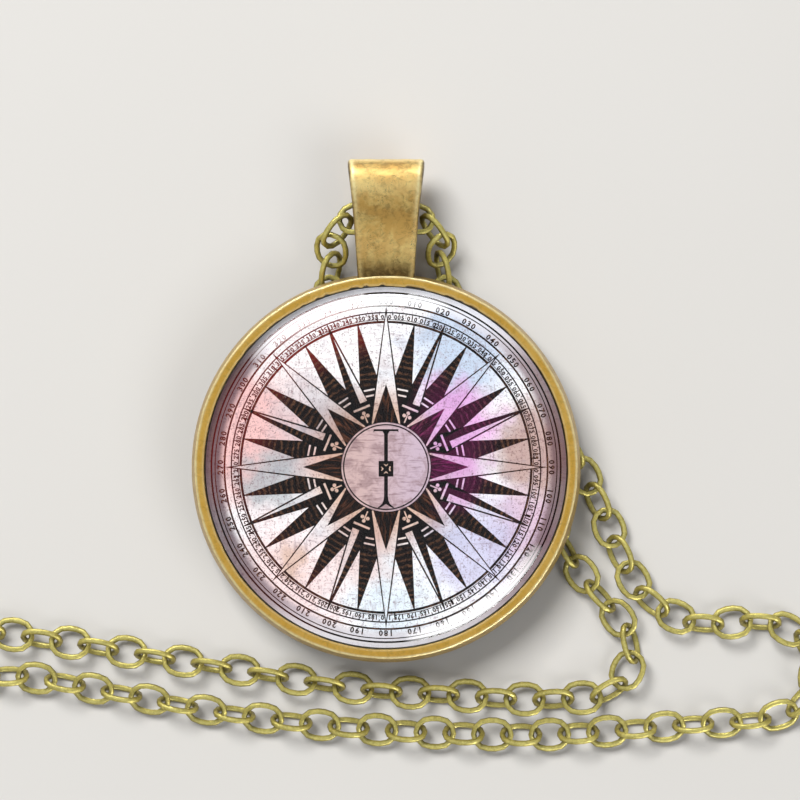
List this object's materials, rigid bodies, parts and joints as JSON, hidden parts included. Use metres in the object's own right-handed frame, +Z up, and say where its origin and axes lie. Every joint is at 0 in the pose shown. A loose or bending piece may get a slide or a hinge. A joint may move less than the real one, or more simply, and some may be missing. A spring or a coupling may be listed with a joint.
{
  "type": "compass pendant on a cable chain",
  "caption": "Round bezel tray pendant with a printed compass rose under a glass dome, on a fine cable chain with a clasp, lying on its back.",
  "frame": {"origin": "on the floor, under the middle of the whole outline of pendant and chain", "axes": "+Z up, +Y from the tray towards the bail, +X to the right as the pendant is seen from above"},
  "size_m": [0.1489, 0.0842, 0.0094],
  "materials": {
    "antique_bronze": "antique bronze, pitted and worn bright on the edges",
    "printed_paper": "printed paper with washed tints",
    "clear_glass": "polished clear glass dome",
    "chain_bronze": "antique brass wire, olive and shaded in its hollows"
  },
  "bodies": {
    "root": {"setting": "antique_bronze", "picture_disc": "printed_paper", "glass_cabochon": "clear_glass", "chain": "chain_bronze", "chain_ring": "chain_bronze", "hook_ring": "chain_bronze", "clasp": "chain_bronze"}
  },
  "joints": []
}
